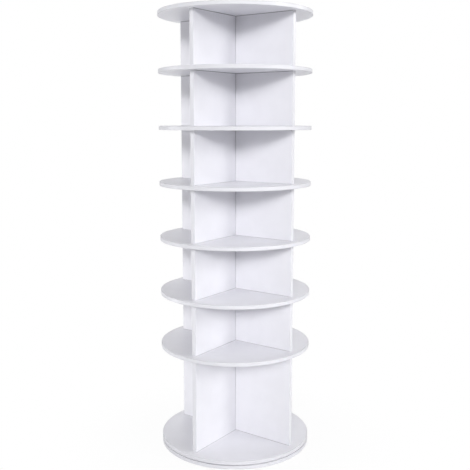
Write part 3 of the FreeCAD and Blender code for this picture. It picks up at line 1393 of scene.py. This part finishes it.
    def build(self) -> None:
        """Puts the cams, caps and bolts in place."""
        layout = self.layout
        edges = layout.divider_edges(self.distance)
        cams = copies([self.cam()], edges)
        caps = copies([self.cap()], edges)
        singles = copies(self.single_bolt(), layout.end_discs(self.distance))
        doubles = copies(self.double_bolt(), layout.shelf_discs(self.distance))
        zinc = ZINC_PLATE.material()
        dressed("cams", cams, CAST_ZINC.material(), Body.TOWER, "cam_locks")
        dressed("cam_caps", caps, CAP_PLASTIC.material(), Body.TOWER, "cam_cover_caps")
        dressed("disc_bolts", singles, zinc, Body.TOWER, "single_cam_bolts")
        dressed("through_bolts", doubles, zinc, Body.TOWER, "double_cam_bolts")


@dataclass
class Dowels:
    """Fluted beech dowels that keep the dividers in line with the discs."""

    layout: Layout
    distance: float = 90 * MM
    radius: float = 4 * MM
    grip: float = 12 * MM
    blind_grip: float = 10 * MM
    bevel: float = 1 * MM
    flutes: int = 14
    flute_depth: float = 0.06

    def flute(self, turn: float) -> float:
        """How far the surface reaches at an angle, as a share of the radius."""
        return 1.0 - self.flute_depth * max(0.0, math.cos(self.flutes * turn)) ** 2

    def dowel(self, below: float) -> bpy.types.Mesh:
        """A dowel that stands in a disc and in the divider above it.

        Args:
            below: How far it reaches below height 0.

        Returns:
            The mesh.
        """
        narrow = self.radius - self.bevel
        outline = [
            (0.0, -below),
            (narrow, -below),
            (self.radius, -below + self.bevel),
            (self.radius, self.grip - self.bevel),
            (narrow, self.grip),
            (0.0, self.grip),
        ]
        return lathe(outline, 4 * self.flutes, self.flute)

    def build(self) -> None:
        """Puts the dowels in place."""
        beech = Beech().material()
        short = copies([self.dowel(self.blind_grip)], self.layout.end_discs(self.distance))
        through = self.layout.disc_thickness + self.grip
        long = copies([self.dowel(through)], self.layout.shelf_discs(self.distance))
        dressed("short_fluted_dowels", short, beech, Body.TOWER, "short_dowels")
        dressed("long_fluted_dowels", long, beech, Body.TOWER, "long_dowels")


# ---- Stage, light and camera


@dataclass(frozen=True)
class Softbox:
    """A flat lamp that stands round the tower, or hangs over it, and looks at its axis.

    Attributes:
        azimuth: Where it stands, in degrees from -Y towards +X.
        spread: The angle of its beam, in degrees: a grid in front of the lamp narrows it.
        sheen: Whether it shows as a sheen: a polarising sheet in front of the lamp takes it away.
        is_round: Whether its face is round, with the first size as the diameter, or a rectangle.
    """

    name: str
    azimuth: float
    distance: float
    height: float
    size: tuple[float, float]
    power: float
    aim_height: float = 0.85
    spread: float = 180.0
    sheen: bool = True
    is_round: bool = False

    def place(self) -> Vector:
        """Where the lamp's middle is."""
        return level_direction(math.radians(self.azimuth)) * self.distance + Vector((0.0, 0.0, self.height))

    def facing(self) -> Vector:
        """The way that the lamp shines."""
        return Vector((0.0, 0.0, self.aim_height)) - self.place()

    def build(self) -> None:
        """Hangs the lamp, out of the camera's sight."""
        light = bpy.data.lights.new(self.name, "AREA")
        light.shape = "DISK" if self.is_round else "RECTANGLE"
        light.size, light.size_y = self.size
        light.energy = self.power
        light.spread = math.radians(self.spread)
        lamp = placed(self.name, light)
        lamp.location = self.place()
        lamp.rotation_mode = "QUATERNION"
        lamp.rotation_quaternion = self.facing().to_track_quat("-Z", "Y")
        lamp.visible_camera = False
        lamp.visible_glossy = self.sheen
        log.info("%s: %.1f W", self.name, self.power)


@dataclass(frozen=True)
class Studio:
    """A pale floor, a white surround and soft lamps.

    Attributes:
        shade_to: How far from the axis the floor shows the tower's shadow in full; it is gone at white_from.
        nearest_white: How white the floor is painted beside the tower, from 0 to 1.
        ambient: The strength of the surround's light on the tower.
    """

    floor_radius: float = 9.0
    floor_segments: int = 96
    floor_colour: Colour = (0.86, 0.86, 0.87)
    shade_to: float = 0.32
    white_from: float = 0.75
    nearest_white: float = 0.95
    ambient: float = 0.09
    lamps: tuple[Softbox, ...] = (
        Softbox("key_softbox", 30, 13.0, 5.9, (3.7, 3.0), 623, sheen=False),
        Softbox("lower_key_softbox", 30, 13.0, 4.9, (1.9, 1.5), 371, sheen=False),
        Softbox("right_key_softbox", 40, 13.0, 4.9, (3.7, 3.0), 377, sheen=False),
        Softbox("right_softbox", 105, 13.0, 4.9, (3.7, 3.0), 566),
        Softbox("high_right_softbox", 90, 3.6, 4.2, (1.3, 1.0), 38.2),
        Softbox("high_left_softbox", -30, 3.6, 4.2, (1.3, 1.0), 19.9),
        Softbox("right_rear_softbox", 140, 4.6, 2.6, (1.3, 1.0), 25.9),
        Softbox("level_rear_softbox", -144.2, 4.6, 0.9, (1.6, 1.2), 80, sheen=False),
        Softbox("high_rear_softbox", -144.2, 4.6, 3.0, (1.6, 1.2), 32, sheen=False),
        Softbox("left_rear_softbox", -112, 4.6, 0.9, (1.6, 1.2), 34, sheen=False),
        Softbox("left_softbox", -60, 2.8, 1.4, (0.8, 0.8), 10.2),
        Softbox("near_left_softbox", -60, 1.7, 0.28, (0.5, 0.5), 3.4, aim_height=0.4),
        Softbox("high_front_grid", 0, 4.2, 3.6, (0.9, 0.9), 0.3, aim_height=1.55, spread=26),
        Softbox("low_front_grid", 0, 3.4, 1.3, (0.8, 0.8), 0.2, aim_height=0.55, spread=26),
        Softbox("low_right_grid", 90, 3.4, 1.3, (0.8, 0.8), 0.4, aim_height=0.55, spread=26),
        Softbox("overhead_grid", 0, 0.0, 2.7, (0.58, 0.58), 0.29, spread=3, sheen=False, is_round=True),
    )

    def floor(self) -> None:
        """Lays the floor: it takes the tower's shadow near it and goes to white further out."""
        work = bmesh.new()
        bmesh.ops.create_circle(work, cap_ends=True, segments=self.floor_segments, radius=self.floor_radius)
        mesh = as_mesh(work)
        mesh.name = "floor"
        mesh.materials.append(self.floor_material())
        floor = placed("floor", mesh)

    def floor_material(self) -> bpy.types.Material:
        """A matt floor that is plain white to the camera where it is far from the tower.

        Returns:
            The material, clear from below.
        """
        paint = Paint.named("floor_paint")
        far = paint.from_axis().eased(self.shade_to, self.white_from)
        white_share = self.seen_ray(paint) * (self.nearest_white + (1 - self.nearest_white) * far)
        matt = paint.node("ShaderNodeBsdfDiffuse", {}, {"Color": self.floor_colour})
        white = paint.node("ShaderNodeEmission", {}, {"Color": WHITE, "Strength": 1.0})
        clear = paint.node("ShaderNodeBsdfTransparent", {}, {})
        below = paint.node("ShaderNodeNewGeometry", {}, {}, "Backfacing")
        upper = paint.node("ShaderNodeMixShader", {}, {0: white_share, 1: matt, 2: white})
        return paint.finish(paint.node("ShaderNodeMixShader", {}, {0: below, 1: upper, 2: clear}))

    @staticmethod
    def seen_ray(paint: Paint) -> Wire:
        """Finds the rays that show a thing, directly or in metal and glass.

        Args:
            paint: The paint to work in.

        Returns:
            1 for such a ray, and 0 for one that only carries light.
        """
        rays = ("Is Camera Ray", "Is Glossy Ray", "Is Transmission Ray")
        camera, glossy, through = (paint.node("ShaderNodeLightPath", {}, {}, ray) for ray in rays)
        return camera.larger(glossy).larger(through)

    def surround(self) -> None:
        """Makes the world: white where it is seen, and a low even light on the tower."""
        paint = Paint(bpy.data.worlds.new("surround"))
        strength = self.ambient + (1.0 - self.ambient) * self.seen_ray(paint)
        light = paint.node("ShaderNodeBackground", {}, {"Color": WHITE, "Strength": strength})
        bpy.context.scene.world = paint.finish(light)

    def build(self) -> None:
        """Sets the stage."""
        self.floor()
        self.surround()
        for lamp in self.lamps:
            lamp.build()


@dataclass(frozen=True)
class Viewpoint:
    """The camera's place and lens."""

    azimuth: float = 35.77
    distance: float = 2.8842
    height: float = 1.3045
    pitch: float = 7.832
    focal_length: float = 55.547
    sensor: float = 36.0
    shift: tuple[float, float] = (-0.0003, -0.0288)

    def build(self) -> None:
        """Stands the camera up."""
        lens = bpy.data.cameras.new("camera")
        lens.sensor_fit = "HORIZONTAL"
        lens.sensor_width = self.sensor
        lens.lens = self.focal_length
        lens.shift_x, lens.shift_y = self.shift
        camera = placed("camera", lens)
        azimuth = math.radians(self.azimuth)
        camera.location = level_direction(azimuth) * self.distance + Vector((0.0, 0.0, self.height))
        camera.rotation_euler = (math.radians(90 - self.pitch), 0.0, azimuth)
        bpy.context.scene.camera = camera


def main() -> None:
    """Builds the camera, the stage and every sub-assembly in turn."""
    logging.basicConfig(level=logging.INFO, format="%(message)s")
    bpy.context.scene.view_settings.view_transform = "Standard"
    layout = Layout.from_frame()
    Viewpoint().build()
    Studio().build()
    for assembly in (Boards(layout), FloorPads(), Bearing(), CamFittings(layout), Dowels(layout)):
        log.info("building %s", type(assembly).__name__)
        assembly.build()


if __name__ == "__main__":
    main()
